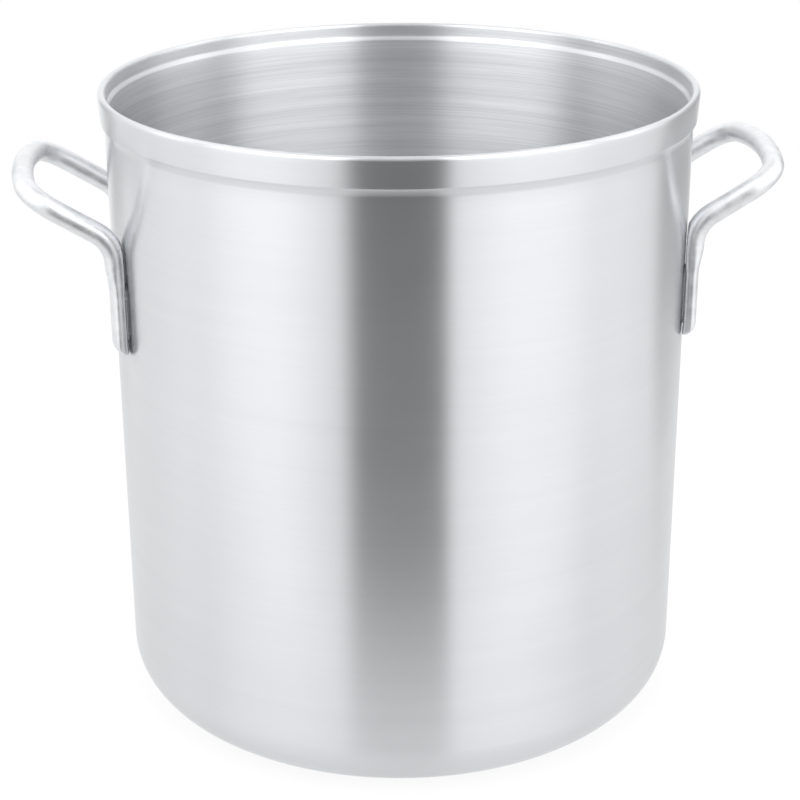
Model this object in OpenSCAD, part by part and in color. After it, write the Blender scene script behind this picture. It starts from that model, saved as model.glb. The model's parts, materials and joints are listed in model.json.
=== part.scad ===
// Stock pot: a spun shell with a heavy rim and two bent-rod handles.
// Origin at the centre of the base, +Z up, handles on the X axis, millimetres.

/* [Shell] */
// Outside radius of the straight wall
wall_r = 180; // [150:1:230]
// Overall height, base to lip
pot_h = 399; // [330:1:480]
// Thickness of the wall
wall_t = 3.6; // [2.5:0.1:5]
// Thickness of the base
base_t = 5; // [3:0.5:8]
// Outside radius of the bottom corner
corner_r = 33; // [15:1:45]

/* [Rim] */
// How far the lip stands out from the wall
lip_out = 3.4; // [2.5:0.1:5]
// How far the lid seat stands out from the inside of the wall
seat_out = 2.2; // [1:0.1:2.4]
// Depth of the lid seat below the lip
seat_depth = 9.5; // [7:0.1:11]
// Height of the rim band, lip included
band_h = 18.5; // [15:0.5:22]
// How much the band narrows from the lip to its lower edge
band_taper = 1; // [0.5:0.1:1.2]
// Height of the slope from the band in to the wall
slope_h = 4; // [3:0.5:8]

/* [Handles] */
// Diameter of the handle rod
rod_d = 13; // [11:0.5:14]
// Half the distance between the two legs of one handle
leg_half = 57.5; // [52:0.5:62]
// Thickness of the flattened leg
leg_t = 8; // [6.5:0.1:9]
// Width of the flattened leg
leg_w = 15; // [13:0.5:18]
// Height of the bottom of the legs
leg_z = 249; // [200:1:260]
// Radius that rounds the front of the leg's lower end
tip_r = 6.5; // [3:0.5:8]
// Height at which the rod begins to leave the wall
bend_z = 306.5; // [295:0.5:315]
// Centreline radius of the bend that leaves the wall
elbow_r = 22; // [18:1:26]
// Upward slope of the arms, in degrees
arm_slope = 31.5; // [26:0.5:38]
// Reach of the loop's centreline from the outside of the wall
reach = 50.5; // [48:0.5:60]
// Centreline radius of the loop's two corners
loop_r = 22; // [18:1:26]
// Angle through which each half of the bowed grip curves, in degrees
grip_turn = 12.5; // [8:0.5:18]

/* [Welds] */
// Gap between a leg and the wall, filled by the weld
weld_t = 0.8; // [0.5:0.1:1.5]
// Width of each weld
weld_w = 9; // [5:0.5:11]
// Height of each weld
weld_h = 38; // [20:1:42]

/* [Hidden] */

// roundness of spun surfaces, of the rod and of the faceted blend in the leg
shell_fn = 240;
rod_fn = 48;
blend_fn = 32;
// how far a cutting shape reaches past the face it cuts
over = 1;

// rim section
inner_r = wall_r - wall_t;
seat_r = inner_r + seat_out;
lip_r = wall_r + lip_out;
lip_round = (lip_r - seat_r) / 2;
band_round = 1.5;
band_low_r = lip_r - band_taper;
band_low_z = pot_h - band_h;
seat_z = pot_h - seat_depth;
seat_slope = 1.2;

// leg section, measured along the wall's own radius
leg_ring_r = wall_r + weld_t;
leg_sink = 0.3;
leg_mid_r = leg_ring_r - leg_sink + leg_t / 2;
leg_turn = asin(leg_half / leg_mid_r);
leg_x = leg_mid_r * cos(leg_turn);
// length of the blend from flat leg to round rod, and the thin slices at its two ends
blend_h = 20;
blend_in = 0.1;
slice_h = 0.5;

// handle centreline
elbow_turn = 90 - arm_slope;
arm_x = leg_x + elbow_r * (1 - cos(elbow_turn));
arm_z = bend_z + elbow_r * sin(elbow_turn);
arm_len = (wall_r + reach - arm_x) / cos(arm_slope);
grip_r = (leg_half - loop_r * (1 - sin(grip_turn))) / sin(grip_turn);
straight = arm_len - grip_r * (1 - cos(grip_turn)) - loop_r * cos(grip_turn);
// the hairline collar that joins a corner of the loop to the grip, and the gap it bridges
joint_turn = 0.5;
collar_out = 0.05;
collar_len = 1.5;
// the weld starts a little above the end of the leg
weld_lift = 6;
weld_z = leg_z + weld_lift;

// what is cut from a square corner at the origin to round it
module corner_cut(r) {
    difference() {
        translate([-over, -over])
            square(r + over);
        translate([r, r])
            circle(r = r, $fn = shell_fn);
    }
}

// rounded box from the axis to a radius, with its lower outer corner rounded
module cup_section(radius, low, high, corner) {
    difference() {
        translate([0, low])
            square([radius, high - low]);
        translate([radius, low])
            mirror([1, 0])
                corner_cut(corner);
    }
}

// band, slope and lip, filled in to the axis
module rim_section() {
    polygon([
        [0, band_low_z - slope_h],
        [wall_r, band_low_z - slope_h],
        [band_low_r - band_round / 2, band_low_z],
        [band_low_r - band_round / 2, band_low_z + band_round],
        [band_low_r, band_low_z + band_round],
        [lip_r, pot_h - lip_round],
        [lip_r - lip_round, pot_h - lip_round],
        [lip_r - lip_round, pot_h],
        [0, pot_h]
    ]);
    translate([band_low_r - band_round, band_low_z + band_round])
        circle(r = band_round, $fn = shell_fn);
    lip_section();
}

// outside of the shell, filled in to the axis
module outer_section() {
    cup_section(wall_r, 0, band_low_z, corner_r);
    rim_section();
}

// cooking space, lid seat and the open mouth
module hollow_section() {
    cup_section(inner_r, base_t, pot_h, corner_r - wall_t);
    polygon([
        [0, seat_z],
        [0, pot_h + over],
        [seat_r + lip_round, pot_h + over],
        [seat_r + lip_round, pot_h - lip_round],
        [seat_r, pot_h - lip_round],
        [seat_r, seat_z],
        [inner_r + seat_out / 2, seat_z],
        [inner_r, seat_z - seat_slope],
        [0, seat_z - seat_slope]
    ]);
}

// round top edge of the rim
module lip_section() {
    translate([lip_r - lip_round, pot_h - lip_round])
        circle(r = lip_round, $fn = shell_fn);
}

// one-piece shell: base, wall, lid seat, rim band and lip
module pot_body() {
    color("silver")
        difference() {
            rotate_extrude($fn = shell_fn)
                outer_section();
            rotate_extrude($fn = shell_fn)
                difference() {
                    hollow_section();
                    lip_section();
                }
        }
}

// flattened oval of the leg, long way across the leg
module leg_section(fn) {
    spread = (leg_w - leg_t) / 2;
    square([leg_t, 2 * spread], center = true);
    for (side = [-1, 1])
        translate([0, side * spread])
            circle(d = leg_t, $fn = fn);
}

// side view of the leg with its lower front corner rounded
module leg_side() {
    difference() {
        translate([-leg_t, leg_z])
            square([1.5 * leg_t, bend_z - blend_h - leg_z]);
        translate([leg_t / 2, leg_z])
            mirror([1, 0])
                corner_cut(tip_r);
    }
}

// one leg, flat against the wall, growing into the round rod
module leg() {
    intersection() {
        translate([0, 0, leg_z])
            linear_extrude(bend_z - blend_h - leg_z)
                leg_section(rod_fn);
        rotate([90, 0, 0])
            linear_extrude(2 * leg_w, center = true)
                leg_side();
    }
    hull() {
        translate([0, 0, bend_z - blend_h - slice_h])
            linear_extrude(2 * slice_h)
                offset(delta = -blend_in)
                    leg_section(blend_fn);
        translate([0, 0, bend_z - slice_h])
            cylinder(d = rod_d - 2 * blend_in, h = 2 * slice_h, $fn = blend_fn);
    }
}

// leg turned to face the pot's axis; side is -1 for the front leg and 1 for the rear
module placed_leg(side) {
    translate([leg_x, side * leg_half, 0])
        rotate([0, 0, side * leg_turn])
            leg();
}

// front elbow, arm and corner of the loop, and the hairline collar where the grip joins
module loop_half() {
    translate([0, -leg_half, -elbow_r])
        rotate([90, 0, 0])
            rotate([0, 0, 90])
                rotate_extrude(angle = elbow_turn, $fn = shell_fn)
                    translate([elbow_r, 0])
                        circle(d = rod_d, $fn = rod_fn);
    translate([0, -leg_half, 0])
        rotate([0, 90, 0])
            cylinder(d = rod_d, h = straight, $fn = rod_fn);
    translate([straight, loop_r - leg_half, 0])
        rotate([0, 0, -90])
            rotate_extrude(angle = 90 - grip_turn - joint_turn, $fn = shell_fn)
                translate([loop_r, 0])
                    circle(d = rod_d, $fn = rod_fn);
    translate([straight + loop_r * cos(grip_turn), -grip_r * sin(grip_turn), 0])
        rotate([90, 0, -grip_turn])
            cylinder(d = rod_d + 2 * collar_out, h = collar_len, center = true, $fn = rod_fn);
}

// both halves and the bowed grip between them, in the tilted plane of the loop
module loop() {
    translate([arm_x, 0, arm_z])
        rotate([0, -arm_slope, 0]) {
            loop_half();
            mirror([0, 1, 0])
                loop_half();
            translate([arm_len - grip_r, 0, 0])
                rotate([0, 0, -grip_turn])
                    rotate_extrude(angle = 2 * grip_turn, $fn = shell_fn)
                        translate([grip_r, 0])
                            circle(d = rod_d, $fn = rod_fn);
        }
}

// right handle: two legs and the loop, hollowed behind to lie on the welds
module handle() {
    color("gainsboro")
        difference() {
            union() {
                for (side = [-1, 1])
                    placed_leg(side);
                loop();
            }
            cylinder(r = leg_ring_r, h = pot_h, $fn = shell_fn);
        }
}

// thin weld that fills the gap behind one leg
module weld(side) {
    color("darkgray")
        intersection() {
            difference() {
                cylinder(r = leg_ring_r, h = pot_h, $fn = shell_fn);
                cylinder(r = wall_r, h = pot_h, $fn = shell_fn);
            }
            rotate([0, 0, side * leg_turn])
                translate([wall_r - leg_t / 2, -weld_w / 2, weld_z])
                    cube([leg_t, weld_w, weld_h]);
        }
}

module handle_right() {
    handle();
}

module handle_left() {
    rotate([0, 0, 180])
        handle();
}

module weld_right_front() {
    weld(-1);
}

module weld_right_rear() {
    weld(1);
}

module weld_left_front() {
    rotate([0, 0, 180])
        weld(1);
}

module weld_left_rear() {
    rotate([0, 0, 180])
        weld(-1);
}

pot_body();
handle_left();
handle_right();
weld_left_front();
weld_left_rear();
weld_right_front();
weld_right_rear();
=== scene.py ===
"""Stock pot: spun aluminium shell with a stepped rim and two bent-rod handles, in a white studio."""

import json
import math

import bmesh
import bpy
from mathutils import Matrix, Vector


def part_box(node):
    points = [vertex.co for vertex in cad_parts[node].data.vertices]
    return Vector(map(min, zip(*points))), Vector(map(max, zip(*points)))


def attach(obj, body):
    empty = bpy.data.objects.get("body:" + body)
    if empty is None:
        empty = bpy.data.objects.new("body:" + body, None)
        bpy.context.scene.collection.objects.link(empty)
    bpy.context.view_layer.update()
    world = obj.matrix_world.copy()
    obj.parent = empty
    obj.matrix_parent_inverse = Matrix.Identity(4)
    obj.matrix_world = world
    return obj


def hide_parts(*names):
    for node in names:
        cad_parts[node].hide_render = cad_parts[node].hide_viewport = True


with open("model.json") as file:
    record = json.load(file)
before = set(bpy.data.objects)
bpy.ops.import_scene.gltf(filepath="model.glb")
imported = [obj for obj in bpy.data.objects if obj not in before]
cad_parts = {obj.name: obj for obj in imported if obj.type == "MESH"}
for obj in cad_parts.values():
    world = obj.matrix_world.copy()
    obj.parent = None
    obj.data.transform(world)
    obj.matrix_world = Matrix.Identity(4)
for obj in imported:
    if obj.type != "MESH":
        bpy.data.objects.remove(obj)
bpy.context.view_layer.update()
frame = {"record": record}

# ---------------------------------------------------------------- sizes, in metres
SHELL_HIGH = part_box("pot_body")[1]
HANDLE_LOW, HANDLE_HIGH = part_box("handle_right")
WELD_LOW, WELD_HIGH = (corner.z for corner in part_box("weld_right_front"))
SEAT = next(m for m in frame["record"]["mounts"] if m["name"] == "lid_seat")

# shell; the CAD mesh is faceted and a little narrower in y, and LIP_R stays inside its box
LIP_R = min(SHELL_HIGH.x, SHELL_HIGH.y)
LIP_OUT = 0.0034
POT_H = SHELL_HIGH.z
WALL_R = SHELL_HIGH.x - LIP_OUT
WALL_T = 0.0036
INNER_R = WALL_R - WALL_T
BASE_T = 0.005
CORNER_R = 0.033
INNER_CORNER_R = CORNER_R - WALL_T

# rim, from the lid seat inside to the band outside
SEAT_R = SEAT["dims"]["r_mm"] / 1000
SEAT_Z = POT_H - 0.0095
SEAT_RISE = 0.0012
SEAT_FALL = 0.002
LIP_ROUND = (LIP_R - SEAT_R) / 2
BAND_LOW_Z = POT_H - 0.0185
BAND_LOW_R = LIP_R - 0.001
BAND_ROUND = 0.0015
SLOPE_Z = BAND_LOW_Z - 0.004
# soft S of the slope under the band: out from the wall, up from the slope's foot
SLOPE_POINTS = (
    (0, -0.001), (0.0001, 0), (0.0004, 0.0011), (0.0009, 0.0024), (0.0013, 0.0034), (0.00165, 0.0041),
)

# room left between a round stretch of the outline and the straight one that follows or leads to it
CORNER_GAP = 0.004
SLOPE_GAP = 0.0012
BAND_GAP = 0.0005
BAND_LEAN = 0.00005
LIP_GAP = 0.0003
INNER_GAP = 0.002
BASE_GAP = 0.01

# welds
WELD_T = 0.0008
WELD_W = 0.009
WELD_BITE = 0.0001
WELD_RIPPLE = 0.00025
WELD_WAVES = 12
WELD_END_POWER = 6
WELD_END_SHARE = 0.02

# handle rod and its flattened legs
ROD_R = 0.0065
LEG_HALF = 0.0575
LEG_T = 0.008
LEG_W = 0.015
LEG_SINK = 0.0003
LEG_LOW = HANDLE_LOW.z
LEG_RING_R = WALL_R + WELD_T
LEG_MID_R = LEG_RING_R - LEG_SINK + LEG_T / 2
LEG_TURN = math.asin(LEG_HALF / LEG_MID_R)
LEG_X = LEG_MID_R * math.cos(LEG_TURN)
TIP_R = 0.0065
TIP_SIDE_R = 0.0025
SQUARENESS = 2.2

# handle centreline: elbow, arm, corner of the loop, bowed grip
BEND_Z = 0.3065
BLEND_H = 0.020
ELBOW_R = 0.022
ARM_SLOPE = math.radians(31.5)
ELBOW_TURN = math.pi / 2 - ARM_SLOPE
ARM_X = LEG_X + ELBOW_R * (1 - math.cos(ELBOW_TURN))
ARM_Z = BEND_Z + ELBOW_R * math.sin(ELBOW_TURN)
ARM_LEN = (HANDLE_HIGH.x - ROD_R - ARM_X) / math.cos(ARM_SLOPE)
LOOP_R = 0.022
GRIP_TURN = math.radians(12.5)
GRIP_R = (LEG_HALF - LOOP_R * (1 - math.sin(GRIP_TURN))) / math.sin(GRIP_TURN)
STRAIGHT = ARM_LEN - GRIP_R * (1 - math.cos(GRIP_TURN)) - LOOP_R * math.cos(GRIP_TURN)

# ---------------------------------------------------------------- fineness of the meshes
SPIN_STEPS = 384
BASE_STEPS = 8
CORNER_STEPS = 24
WALL_STEPS = 40
BAND_ROUND_STEPS = 5
BAND_STEPS = 6
LIP_STEPS = 20
SEAT_WALL_STEPS = 5
SEAT_STEPS = 12

ROD_STEPS = 40
TIP_STEPS = 14
LEG_STEPS = 30
ELBOW_STEPS = 20
ARM_STEPS = 8
LOOP_STEPS = 20
GRIP_STEPS = 16

WELD_STEPS = 60
WELD_POINTS = 12


# ---------------------------------------------------------------- mesh helpers
def arc(centre, radius, start, end, steps):
    """Points of an arc in the (r, z) plane; angles in degrees from +r towards +z."""
    points = []
    for i in range(steps + 1):
        a = math.radians(start + (end - start) * i / steps)
        points.append((centre[0] + radius * math.cos(a), centre[1] + radius * math.sin(a)))
    return points


def line(start, end, steps):
    """Points from start up to, and not including, end."""
    return [
        (start[0] + (end[0] - start[0]) * i / steps, start[1] + (end[1] - start[1]) * i / steps)
        for i in range(steps)
    ]


def ease(share):
    """A share held between 0 and 1 and eased at both ends."""
    held = min(max(share, 0), 1)
    return held * held * (3 - 2 * held)


def corner_inset(up, radius):
    """How far a rounded lower corner stands in, at a height above its foot."""
    down = max(radius - up, 0)
    return radius - math.sqrt(radius ** 2 - down ** 2)


def finish_mesh(name, bm, material):
    """Turn a bmesh into a smooth object in the scene."""
    mesh = bpy.data.meshes.new(name)
    bm.to_mesh(mesh)
    bm.free()
    for polygon in mesh.polygons:
        polygon.use_smooth = True
    mesh.materials.append(material)
    piece = bpy.data.objects.new(name, mesh)
    bpy.context.scene.collection.objects.link(piece)
    return piece


def lathe(name, outline, material):
    """A closed surface spun from an outline whose two ends lie on the axis.

    Its UV map "spin" runs once round the axis in u, and along the outline in v.
    """
    bm = bmesh.new()
    uv = bm.loops.layers.uv.new("spin")
    lengths = [0.0]
    for a, b in zip(outline, outline[1:]):
        lengths.append(lengths[-1] + math.dist(a, b))
    v = [length / lengths[-1] for length in lengths]
    rings = []
    for r, z in outline[1:-1]:
        rings.append([
            bm.verts.new((r * math.cos(t), r * math.sin(t), z))
            for t in (2 * math.pi * i / SPIN_STEPS for i in range(SPIN_STEPS))
        ])
    first = bm.verts.new((0, 0, outline[0][1]))
    last = bm.verts.new((0, 0, outline[-1][1]))

    def face(verts, uvs):
        new = bm.faces.new(verts)
        for loop, at in zip(new.loops, uvs):
            loop[uv].uv = at

    for i in range(SPIN_STEPS):
        j = (i + 1) % SPIN_STEPS
        u0, u1 = i / SPIN_STEPS, (i + 1) / SPIN_STEPS
        middle = (u0 + u1) / 2
        face((first, rings[0][j], rings[0][i]), ((middle, 0), (u1, v[1]), (u0, v[1])))
        for k in range(len(rings) - 1):
            a, b = rings[k], rings[k + 1]
            va, vb = v[k + 1], v[k + 2]
            face((a[i], a[j], b[j], b[i]), ((u0, va), (u1, va), (u1, vb), (u0, vb)))
        face((last, rings[-1][i], rings[-1][j]), ((middle, 1), (u0, v[-2]), (u1, v[-2])))
    bmesh.ops.recalc_face_normals(bm, faces=bm.faces)
    return finish_mesh(name, bm, material)


def tube(name, rings, material):
    """A closed tube through rings of equal length, capped at both ends.

    Its UV map "along" runs once along the tube in u, and turns round it in v.
    """
    bm = bmesh.new()
    uv = bm.loops.layers.uv.new("along")
    count = len(rings[0])
    centres = [sum((Vector(p) for p in ring), Vector()) / count for ring in rings]
    lengths = [0.0]
    for a, b in zip(centres, centres[1:]):
        lengths.append(lengths[-1] + (b - a).length)
    verts = [[bm.verts.new(p) for p in ring] for ring in rings]
    for k in range(len(verts) - 1):
        for i in range(count):
            j = (i + 1) % count
            new = bm.faces.new((verts[k][i], verts[k][j], verts[k + 1][j], verts[k + 1][i]))
            v0, v1 = i / count, (i + 1) / count
            for loop, (v, ring) in zip(new.loops, ((v0, k), (v1, k), (v1, k + 1), (v0, k + 1))):
                loop[uv].uv = (lengths[ring] / lengths[-1], v)
    for ring, centre, at in ((verts[0], centres[0], 0), (verts[-1], centres[-1], 1)):
        tip = bm.verts.new(centre)
        for i in range(count):
            new = bm.faces.new((tip, ring[(i + 1) % count], ring[i]))
            for loop in new.loops:
                loop[uv].uv = (at, i / count)
    bmesh.ops.recalc_face_normals(bm, faces=bm.faces)
    return finish_mesh(name, bm, material)


# ---------------------------------------------------------------- material helpers
class Nodes:
    """Short calls for building the node tree of a new material or world."""

    def __init__(self, owner):
        owner.use_nodes = True
        self.owner = owner
        self.tree = owner.node_tree
        self.shader = self.tree.nodes.get("Principled BSDF")  # a world has none

    def add(self, kind, **settings):
        node = self.tree.nodes.new(kind)
        for key, value in settings.items():
            setattr(node, key, value)
        return node

    def link(self, source, target):
        self.tree.links.new(source, target)

    def put(self, socket, value):
        """Set a socket to a constant, or link it to another socket."""
        if isinstance(value, (int, float, tuple)):
            socket.default_value = value
        else:
            self.link(value, socket)

    def math(self, operation, a, b=None):
        node = self.add("ShaderNodeMath", operation=operation)
        self.put(node.inputs[0], a)
        if b is not None:
            self.put(node.inputs[1], b)
        return node.outputs[0]

    def noise(self, vector, scale, detail=4.0, roughness=0.55, distortion=0.0):
        node = self.add("ShaderNodeTexNoise")
        self.link(vector, node.inputs["Vector"])
        node.inputs["Scale"].default_value = scale
        node.inputs["Detail"].default_value = detail
        node.inputs["Roughness"].default_value = roughness
        node.inputs["Distortion"].default_value = distortion
        return node.outputs["Fac"]

    def remap(self, value, low, high, to_low, to_high):
        """Ease from to_low to to_high while the value goes from low to high."""
        node = self.add("ShaderNodeMapRange", interpolation_type="SMOOTHSTEP")
        self.put(node.inputs["Value"], value)
        for key, number in (("From Min", low), ("From Max", high), ("To Min", to_low), ("To Max", to_high)):
            self.put(node.inputs[key], number)
        return node.outputs["Result"]

    def window(self, value, rise, fall, height):
        """Ease up from 0 to height over the range rise, and down again over the range fall."""
        return self.math("MULTIPLY",
                         self.remap(value, *rise, 0.0, height),
                         self.remap(value, *fall, 1.0, 0.0))

    def mix(self, factor, a, b):
        node = self.add("ShaderNodeMix", data_type="RGBA")
        self.put(node.inputs[0], factor)
        self.put(node.inputs[6], a)
        self.put(node.inputs[7], b)
        return node.outputs[2]

    def bump(self, height, strength, distance, normal=None):
        node = self.add("ShaderNodeBump")
        node.inputs["Strength"].default_value = strength
        node.inputs["Distance"].default_value = distance
        self.link(height, node.inputs["Height"])
        if normal is not None:
            self.link(normal, node.inputs["Normal"])
        return node.outputs["Normal"]


def spin_vector(n, round_scale, across_scale):
    """A texture vector that changes slowly round the axis and quickly along the outline."""
    split = n.add("ShaderNodeSeparateXYZ")
    n.link(n.add("ShaderNodeTexCoord").outputs["Object"], split.inputs[0])
    x, y, z = split.outputs
    radius = n.math("SQRT", n.math("ADD", n.math("MULTIPLY", x, x), n.math("MULTIPLY", y, y)))
    join = n.add("ShaderNodeCombineXYZ")
    n.link(n.math("MULTIPLY", x, round_scale), join.inputs[0])
    n.link(n.math("MULTIPLY", y, round_scale), join.inputs[1])
    n.link(n.math("MULTIPLY", n.math("ADD", radius, z), across_scale), join.inputs[2])
    return join.outputs[0]


# ---------------------------------------------------------------- materials
OUTER_DARK = (0.60, 0.612, 0.63, 1)
OUTER_LIGHT = (0.68, 0.692, 0.707, 1)
# inside tones: streaks of the finish, both ends painted lighter than the outside as painted light inside
# the pot
INNER_DARK_PAINTED_LIT = (0.63, 0.642, 0.658, 1)
INNER_LIGHT_PAINTED_LIT = (0.82, 0.828, 0.84, 1)
ROD_DARK = (0.67, 0.68, 0.695, 1)
ROD_LIGHT = (0.77, 0.775, 0.79, 1)
WELD_DARK = (0.62, 0.62, 0.63, 1)
WELD_LIGHT = (0.78, 0.78, 0.79, 1)
SHELL_ROUGHNESS = (0.28, 0.305)
ROD_ROUGHNESS = (0.38, 0.5)
WELD_ROUGHNESS = (0.38, 0.5)
INSIDE_ROUGHER = 0.10
LIP_FADE = 0.003
ROD_STRETCH = (9.0, 40.0, 1.0)


def spun_aluminium(lip_at):
    """Satin aluminium with fine turning lines round the axis, coarser inside, and painted light: the
    inside's colour is lighter than the outside's.

    The inside begins at the lip, which lip_at places as a share of the outline's length.
    """
    n = Nodes(bpy.data.materials.new("spun_aluminium"))
    lines = n.noise(spin_vector(n, 6.0, 1400.0), 1.0, detail=3.0, roughness=0.6)
    bands = n.noise(spin_vector(n, 4.0, 130.0), 1.0, detail=5.0, roughness=0.6)
    along = n.add("ShaderNodeSeparateXYZ")
    n.link(n.add("ShaderNodeUVMap", uv_map="spin").outputs[0], along.inputs[0])
    inside = n.remap(along.outputs[1], lip_at, lip_at + LIP_FADE, 0.0, 1.0)

    tone = n.math("ADD", n.math("MULTIPLY", lines, 0.5), n.math("MULTIPLY", bands, 0.5))
    streaks = n.remap(tone, 0.30, 0.70, 0.0, 1.0)
    outer = n.mix(tone, OUTER_DARK, OUTER_LIGHT)
    # the inside's streaky tone, lighter than the outside's: painted light inside the pot
    inner_painted_lit = n.mix(streaks, INNER_DARK_PAINTED_LIT, INNER_LIGHT_PAINTED_LIT)
    n.link(n.mix(inside, outer, inner_painted_lit), n.shader.inputs["Base Color"])

    clouds = n.noise(n.add("ShaderNodeTexCoord").outputs["Object"], 14.0, detail=3.0)
    rough = n.remap(clouds, 0.3, 0.7, *SHELL_ROUGHNESS)
    rough = n.math("ADD", rough, n.math("MULTIPLY", inside, INSIDE_ROUGHER))
    n.link(rough, n.shader.inputs["Roughness"])
    n.shader.inputs["Metallic"].default_value = 1.0
    n.shader.inputs["Anisotropic"].default_value = 0.98
    n.shader.inputs["Anisotropic Rotation"].default_value = 0.25
    tangent = n.add("ShaderNodeTangent", direction_type="RADIAL", axis="Z")
    n.link(tangent.outputs[0], n.shader.inputs["Tangent"])

    fine = n.bump(lines, strength=0.10, distance=0.00006)
    coarse = n.bump(bands, strength=0.10, distance=0.0003, normal=fine)
    n.link(coarse, n.shader.inputs["Normal"])
    return n.owner


def scuffed_rod():
    """Bright satin rod with faint lengthwise lines, handling scuffs and shallow dents."""
    n = Nodes(bpy.data.materials.new("scuffed_rod"))
    texture = n.add("ShaderNodeTexCoord")
    stretch = n.add("ShaderNodeMapping")
    stretch.inputs["Scale"].default_value = ROD_STRETCH
    n.link(texture.outputs["UV"], stretch.inputs["Vector"])
    drawn = n.noise(stretch.outputs[0], 1.0, detail=3.0)
    scuffs = n.noise(texture.outputs["Object"], 120.0, detail=5.0, roughness=0.6)
    dents = n.noise(texture.outputs["Object"], 45.0, detail=2.0, distortion=0.6)

    tone = n.remap(scuffs, 0.35, 0.7, 0.0, 1.0)
    n.link(n.mix(tone, ROD_DARK, ROD_LIGHT), n.shader.inputs["Base Color"])
    n.link(n.remap(scuffs, 0.3, 0.75, *ROD_ROUGHNESS), n.shader.inputs["Roughness"])
    n.shader.inputs["Metallic"].default_value = 1.0

    normal = n.bump(drawn, strength=0.12, distance=0.00012)
    normal = n.bump(dents, strength=0.18, distance=0.0006, normal=normal)
    normal = n.bump(scuffs, strength=0.06, distance=0.0002, normal=normal)
    n.link(normal, n.shader.inputs["Normal"])
    return n.owner


def dull_weld():
    """Light grey, slightly rippled weld metal."""
    n = Nodes(bpy.data.materials.new("dull_weld"))
    grain = n.noise(n.add("ShaderNodeTexCoord").outputs["Object"], 500.0)
    n.link(n.mix(grain, WELD_DARK, WELD_LIGHT), n.shader.inputs["Base Color"])
    n.link(n.remap(grain, 0.3, 0.7, *WELD_ROUGHNESS), n.shader.inputs["Roughness"])
    n.shader.inputs["Metallic"].default_value = 1.0
    n.link(n.bump(grain, strength=0.3, distance=0.0003), n.shader.inputs["Normal"])
    return n.owner


def studio_floor():
    """A white light table: it glows and reflects little, so that shadows on it stay faint."""
    n = Nodes(bpy.data.materials.new("studio_floor"))
    n.shader.inputs["Base Color"].default_value = (0.10, 0.10, 0.10, 1)
    n.shader.inputs["Roughness"].default_value = 0.8
    n.shader.inputs["Specular IOR Level"].default_value = 0.0
    n.shader.inputs["Emission Color"].default_value = (1, 1, 1, 1)
    n.shader.inputs["Emission Strength"].default_value = 0.88
    return n.owner


# ---------------------------------------------------------------- the shell
def outside_points(lip_z):
    """From the middle of the base, round the corner and up the wall, slope and band to the lip."""
    corner = (WALL_R - CORNER_R, CORNER_R)
    band_centre = (BAND_LOW_R - BAND_ROUND, BAND_LOW_Z + BAND_ROUND)
    band_start = (BAND_LOW_R + BAND_LEAN, BAND_LOW_Z + BAND_ROUND + BAND_GAP)
    points = line((0, 0), (WALL_R - CORNER_R, 0), BASE_STEPS)
    points += arc(corner, CORNER_R, -90, 0, CORNER_STEPS)
    points += line((WALL_R, CORNER_R + CORNER_GAP), (WALL_R, SLOPE_Z - SLOPE_GAP), WALL_STEPS)
    points += [(WALL_R + out, SLOPE_Z + up) for out, up in SLOPE_POINTS]
    points += arc(band_centre, BAND_ROUND, -35, 0, BAND_ROUND_STEPS)
    points += line(band_start, (LIP_R, lip_z), BAND_STEPS)
    return points


def inside_points(lip_z):
    """From the lip down over the lid seat and the inner wall to the middle of the cooking space's floor."""
    seat_top = SEAT_Z + SEAT_RISE
    seat_low = SEAT_Z - SEAT_FALL
    corner = (INNER_R - INNER_CORNER_R, BASE_T + INNER_CORNER_R)
    points = line((SEAT_R, lip_z - LIP_GAP), (SEAT_R, seat_top), SEAT_WALL_STEPS)
    for i in range(SEAT_STEPS):
        down = i / SEAT_STEPS
        points.append((SEAT_R - (SEAT_R - INNER_R) * ease(down), seat_top - (seat_top - seat_low) * down))
    points += line((INNER_R, seat_low), (INNER_R, corner[1] + INNER_GAP), WALL_STEPS)
    points += arc(corner, INNER_CORNER_R, 0, -90, CORNER_STEPS)
    points += line((corner[0] - BASE_GAP, BASE_T), (0, BASE_T), BASE_STEPS)
    points.append((0, BASE_T))
    return points


def shell_outline():
    """From the middle of the base, up the outside, over the lip and down the inside."""
    lip_z = POT_H - LIP_ROUND
    lip = arc((LIP_R - LIP_ROUND, lip_z), LIP_ROUND, 0, 180, LIP_STEPS)
    return outside_points(lip_z) + lip + inside_points(lip_z)


def lip_share(outline):
    """How far along the outline the top of the lip comes, from 0 to 1."""
    top = max(range(len(outline)), key=lambda i: outline[i][1])
    steps = [math.dist(a, b) for a, b in zip(outline, outline[1:])]
    return sum(steps[:top]) / sum(steps)


# ---------------------------------------------------------------- the handles
def leg_station(z):
    """The front leg at a height: flat above its rounded tip, then growing into the round rod."""
    blend = ease((z - (BEND_Z - BLEND_H)) / BLEND_H)
    up = z - LEG_LOW
    tip_inset = corner_inset(up, TIP_R)
    half_out = LEG_T / 2 + (ROD_R - LEG_T / 2) * blend - tip_inset / 2
    half_across = LEG_W / 2 + (ROD_R - LEG_W / 2) * blend - corner_inset(up, TIP_SIDE_R)
    outward = Vector((math.cos(LEG_TURN), -math.sin(LEG_TURN), 0))
    centre = Vector((LEG_X, -LEG_HALF, z)) - outward * (tip_inset / 2)
    return centre, Vector((0, 0, 1)), outward, half_out, half_across


def elbow_station(a):
    """The front elbow, turned by an angle from straight up."""
    centre = Vector((LEG_X + ELBOW_R * (1 - math.cos(a)), -LEG_HALF, BEND_Z + ELBOW_R * math.sin(a)))
    tangent = Vector((math.sin(a), 0, math.cos(a)))
    outward = Vector((math.cos(a), 0, -math.sin(a)))
    return centre, tangent, outward, ROD_R, ROD_R


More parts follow.
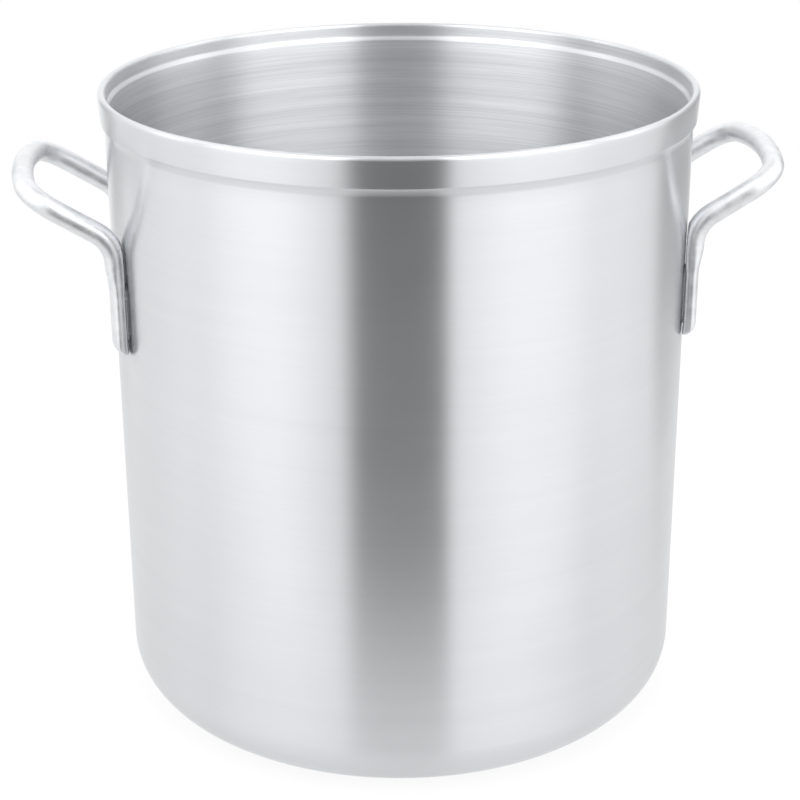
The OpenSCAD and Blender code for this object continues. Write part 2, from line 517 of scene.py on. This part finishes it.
def loop_station(reach, y, turn):
    """The rod in the loop's tilted plane: reach along the arms, turned from them towards +Y."""
    along = Vector((math.cos(ARM_SLOPE), 0, math.sin(ARM_SLOPE)))
    below = Vector((math.sin(ARM_SLOPE), 0, -math.cos(ARM_SLOPE)))
    centre = Vector((ARM_X, y, ARM_Z)) + along * reach
    tangent = along * math.cos(turn) + Vector((0, math.sin(turn), 0))
    return centre, tangent, below, ROD_R, ROD_R


def handle_route():
    """Stations along the +X handle, from the front leg's tip round to the rear leg's tip.

    Each is (centre, tangent, outward, half_out, half_across), before the wall side is laid on the wall.
    """
    half = []
    for i in range(TIP_STEPS):
        a = math.pi / 2 * i / TIP_STEPS
        half.append(leg_station(LEG_LOW + TIP_R * (1 - math.cos(a))))
    tip_top = LEG_LOW + TIP_R
    for i in range(LEG_STEPS + 1):
        half.append(leg_station(tip_top + (BEND_Z - tip_top) * i / LEG_STEPS))
    for i in range(1, ELBOW_STEPS + 1):
        half.append(elbow_station(ELBOW_TURN * i / ELBOW_STEPS))
    for i in range(1, ARM_STEPS + 1):
        half.append(loop_station(STRAIGHT * i / ARM_STEPS, -LEG_HALF, 0))
    for i in range(1, LOOP_STEPS + 1):
        a = (math.pi / 2 - GRIP_TURN) * i / LOOP_STEPS
        reach = STRAIGHT + LOOP_R * math.sin(a)
        half.append(loop_station(reach, LOOP_R * (1 - math.cos(a)) - LEG_HALF, a))
    for i in range(1, GRIP_STEPS + 1):
        a = GRIP_TURN * (1 - i / GRIP_STEPS)
        reach = ARM_LEN - GRIP_R * (1 - math.cos(a))
        half.append(loop_station(reach, -GRIP_R * math.sin(a), math.pi / 2 - a))

    flip = Vector((1, -1, 1))
    mirrored = [
        (centre * flip, -(tangent * flip), outward * flip, half_out, half_across)
        for centre, tangent, outward, half_out, half_across in reversed(half[:-1])
    ]
    return half + mirrored


def handle_rings(side):
    """Rings of points round each station; side is 1 for the +X handle and -1 for the other."""
    rings = []
    for centre, tangent, outward, half_out, half_across in handle_route():
        sideways = tangent.cross(outward).normalized()
        flatness = 1 - min(half_out / half_across, 1)
        power = 2 / (2 + SQUARENESS * flatness)
        ring = []
        for i in range(ROD_STEPS):
            t = 2 * math.pi * i / ROD_STEPS
            c, s = math.cos(t), math.sin(t)
            u = math.copysign(abs(c) ** power, c) * half_out
            v = math.copysign(abs(s) ** power, s) * half_across
            p = centre + outward * u + sideways * v
            near = math.hypot(p.x, p.y)
            if near < LEG_RING_R:
                p.x *= LEG_RING_R / near
                p.y *= LEG_RING_R / near
            ring.append((side * p.x, side * p.y, p.z))
        rings.append(ring)
    return rings


# ---------------------------------------------------------------- the welds
def weld_rings(side, rear):
    """A thin pad between leg and wall, with a rippled edge, as rings up the leg."""
    middle = math.asin(LEG_HALF / (LEG_RING_R + LEG_T / 2)) * (1 if rear else -1)
    rings = []
    for k in range(WELD_STEPS + 1):
        up = k / WELD_STEPS
        z = WELD_LOW + (WELD_HIGH - WELD_LOW) * up
        ends = math.sqrt(max(1 - abs(2 * up - 1) ** WELD_END_POWER, WELD_END_SHARE))
        ripple = WELD_RIPPLE * math.sin(up * 2 * math.pi * WELD_WAVES)
        half = (WELD_W / 2 + ripple) * ends / WALL_R
        ring = []
        for radius, sense in ((WALL_R - WELD_BITE, 1), (LEG_RING_R + WELD_BITE, -1)):
            for i in range(WELD_POINTS):
                a = middle + sense * half * (2 * i / (WELD_POINTS - 1) - 1)
                ring.append((side * radius * math.cos(a), side * radius * math.sin(a), z))
        rings.append(ring)
    return rings


# ---------------------------------------------------------------- build the pieces
def build_pieces():
    outline = shell_outline()
    spun = spun_aluminium(lip_share(outline))
    rod = scuffed_rod()
    weld = dull_weld()
    pieces = [(lathe("shell", outline, spun), "pot_body", "shell")]
    for side, name in ((-1, "left"), (1, "right")):
        pieces.append((tube(f"rod_{name}", handle_rings(side), rod), f"handle_{name}", "rod"))
        for rear, place in ((False, "front"), (True, "rear")):
            turned = rear if side > 0 else not rear  # the left handle is the right one turned half round
            pad = tube(f"pad_{name}_{place}", weld_rings(side, turned), weld)
            pieces.append((pad, f"weld_{name}_{place}", "weld"))
    for piece, node, slot in pieces:
        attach(piece, "root")
        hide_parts(node)


# ---------------------------------------------------------------- studio
CAMERA_AZIMUTH = math.radians(5.3)
CAMERA_DISTANCE = 1.1668
CAMERA_HEIGHT = 0.6608
CAMERA_PITCH = math.radians(22.08)
CAMERA_ROLL = -0.0042
SENSOR = 36.0
CAMERA_LENS = 86.607
CLIP_END = 50

FLOOR_FRONT = -0.395
FLOOR_BACK = 0.9
FLOOR_HALF = 0.75
FLOOR_DROP = 0.0002

LAMP_SIZE = 1.6
LAMP_ENERGY = 9
LAMP_PLACE = (0, 0.2, 2.2)


def azimuths(low, high):
    """Two azimuths, given in degrees: 0 is towards the camera, + to its right."""
    return math.radians(low), math.radians(high)


# the tent, as levels and as stretches of azimuth
TENT_LEVEL = 1.38
DARK_LEVEL = 0.19
LEFT_EDGE = azimuths(-25, -14.5)
LEFT_SHOULDER = azimuths(-50, -20)
LEFT_EDGE_SHARE = 0.72
RIGHT_EDGE = azimuths(15.5, 22)
RIGHT_SHOULDER = azimuths(19, 48)
RIGHT_EDGE_SHARE = 0.80
FADE = azimuths(60, 120)
FADE_DEPTH = 0.16
RIGHT_GREY = (azimuths(113, 124), azimuths(152, 166))
RIGHT_GREY_DEPTH = 0.42
LEFT_GREY = (azimuths(-154, -148), azimuths(-138, -130))
LEFT_GREY_DEPTH = 0.30
SOFTBOX_END = azimuths(80, 125)
SOFTBOX_GAIN = 1.2
GAP = (azimuths(71, 82), azimuths(88, 98))
GAP_DEPTH = 0.8

# the same, as stretches of height: the z of a direction of length 1
ABOVE_Z = (0.85, 0.99)
OPENING_Z = (0.25, 0.6)
OPENING_GLOW = 0.13
GREY_END_Z = (0.2, 0.5)
TOP_Z = (0.75, 0.97)
TOP_GAIN = 0.6
LOW_Z = (-0.42, -0.26)
LOW_GAIN = 0.74
SOFTBOX_Z = (0.08, 0.35)
GAP_Z = (0.18, 0.4)


def build_camera():
    data = bpy.data.cameras.new("camera")
    data.sensor_width = SENSOR
    data.lens = CAMERA_LENS
    data.clip_end = CLIP_END
    camera = bpy.data.objects.new("camera", data)
    bpy.context.scene.collection.objects.link(camera)
    front = Vector((-math.sin(CAMERA_AZIMUTH), -math.cos(CAMERA_AZIMUTH), 0))
    forward = (-front * math.cos(CAMERA_PITCH) - Vector((0, 0, math.sin(CAMERA_PITCH)))).normalized()
    right = forward.cross(Vector((0, 0, 1))).normalized()
    up = right.cross(forward)
    c, s = math.cos(CAMERA_ROLL), math.sin(CAMERA_ROLL)
    right, up = c * right + s * up, c * up - s * right
    turn = Matrix((right, up, -forward)).transposed().to_4x4()
    place = front * CAMERA_DISTANCE + Vector((0, 0, CAMERA_HEIGHT))
    camera.matrix_world = Matrix.Translation(place) @ turn
    bpy.context.scene.camera = camera


def build_floor():
    bm = bmesh.new()
    corners = (
        (-FLOOR_HALF, FLOOR_FRONT), (FLOOR_HALF, FLOOR_FRONT),
        (FLOOR_HALF, FLOOR_BACK), (-FLOOR_HALF, FLOOR_BACK),
    )
    bm.faces.new([bm.verts.new((x, y, 0)) for x, y in corners])
    floor = finish_mesh("floor", bm, studio_floor())
    floor.location.z = -FLOOR_DROP


def tent_level(n):
    """Brightness of the tent by direction: white all round, and dark where it is open."""
    turn = n.add("ShaderNodeVectorRotate", rotation_type="Z_AXIS")
    n.link(n.add("ShaderNodeTexCoord").outputs["Generated"], turn.inputs["Vector"])
    turn.inputs["Angle"].default_value = CAMERA_AZIMUTH
    split = n.add("ShaderNodeSeparateXYZ")
    n.link(turn.outputs[0], split.inputs[0])
    x, y, z = split.outputs
    azimuth = n.math("ARCTAN2", x, n.math("MULTIPLY", y, -1.0))
    aside = n.math("ABSOLUTE", azimuth)

    # the opening, each side of it a sharp edge and a soft shoulder, closed above and glowing a little
    left = n.math("ADD",
                  n.remap(azimuth, *LEFT_EDGE, LEFT_EDGE_SHARE, 0.0),
                  n.remap(azimuth, *LEFT_SHOULDER, 1.0 - LEFT_EDGE_SHARE, 0.0))
    right = n.math("ADD",
                   n.remap(azimuth, *RIGHT_EDGE, 0.0, RIGHT_EDGE_SHARE),
                   n.remap(azimuth, *RIGHT_SHOULDER, 0.0, 1.0 - RIGHT_EDGE_SHARE))
    above = n.remap(z, *ABOVE_Z, 0.0, 1.0)
    glow = n.remap(z, *OPENING_Z, 0.0, OPENING_GLOW)
    white = n.math("MAXIMUM", n.math("MAXIMUM", left, right), n.math("MAXIMUM", above, glow))
    level = n.math("ADD", n.math("MULTIPLY", white, TENT_LEVEL - DARK_LEVEL), DARK_LEVEL)

    # grey cloth towards the sides and the back, low down
    grey = n.math("ADD",
                  n.window(azimuth, *RIGHT_GREY, RIGHT_GREY_DEPTH),
                  n.window(azimuth, *LEFT_GREY, LEFT_GREY_DEPTH))
    grey = n.math("ADD", grey, n.remap(aside, *FADE, 0.0, FADE_DEPTH))
    grey = n.math("MULTIPLY", grey, n.remap(z, *GREY_END_Z, 1.0, 0.0))

    # bright softboxes above both sides of the camera, and the dark gap at the end of each
    softbox = n.math("MULTIPLY",
                     n.remap(z, *SOFTBOX_Z, 0.0, SOFTBOX_GAIN),
                     n.remap(aside, *SOFTBOX_END, 1.0, 0.0))
    gap = n.math("MULTIPLY", n.window(aside, *GAP, GAP_DEPTH), n.remap(z, *GAP_Z, 0.0, 1.0))

    gains = (
        n.math("SUBTRACT", 1.0, grey),
        n.remap(z, *TOP_Z, 1.0, TOP_GAIN),
        n.remap(z, *LOW_Z, LOW_GAIN, 1.0),
        n.math("ADD", 1.0, softbox),
        n.math("SUBTRACT", 1.0, gap),
    )
    for gain in gains:
        level = n.math("MULTIPLY", level, gain)
    return level


def build_world():
    """The metal mirrors the tent; the camera itself sees plain white behind the pot."""
    world = bpy.data.worlds.new("studio")
    bpy.context.scene.world = world
    n = Nodes(world)
    tent = n.tree.nodes["Background"]
    tent.inputs["Color"].default_value = (1, 1, 1, 1)
    n.link(tent_level(n), tent.inputs["Strength"])
    plain = n.add("ShaderNodeBackground")
    plain.inputs["Color"].default_value = (1, 1, 1, 1)
    plain.inputs["Strength"].default_value = 1.0
    mix = n.add("ShaderNodeMixShader")
    n.link(n.add("ShaderNodeLightPath").outputs["Is Camera Ray"], mix.inputs[0])
    n.link(tent.outputs[0], mix.inputs[1])
    n.link(plain.outputs[0], mix.inputs[2])
    n.link(mix.outputs[0], n.tree.nodes["World Output"].inputs["Surface"])


def build_lights():
    """A wide overhead lamp, hidden from the camera and from reflections."""
    data = bpy.data.lights.new("overhead", "AREA")
    data.shape = "DISK"
    data.size = LAMP_SIZE
    data.energy = LAMP_ENERGY
    lamp = bpy.data.objects.new("overhead", data)
    lamp.location = LAMP_PLACE
    lamp.visible_camera = False
    lamp.visible_glossy = False
    bpy.context.scene.collection.objects.link(lamp)


build_pieces()
build_camera()
build_floor()
build_world()
build_lights()
bpy.context.scene.view_settings.view_transform = "Standard"
bpy.context.scene.cycles.use_denoising = True
bpy.context.scene.cycles.max_bounces = 16
bpy.context.scene.cycles.glossy_bounces = 16
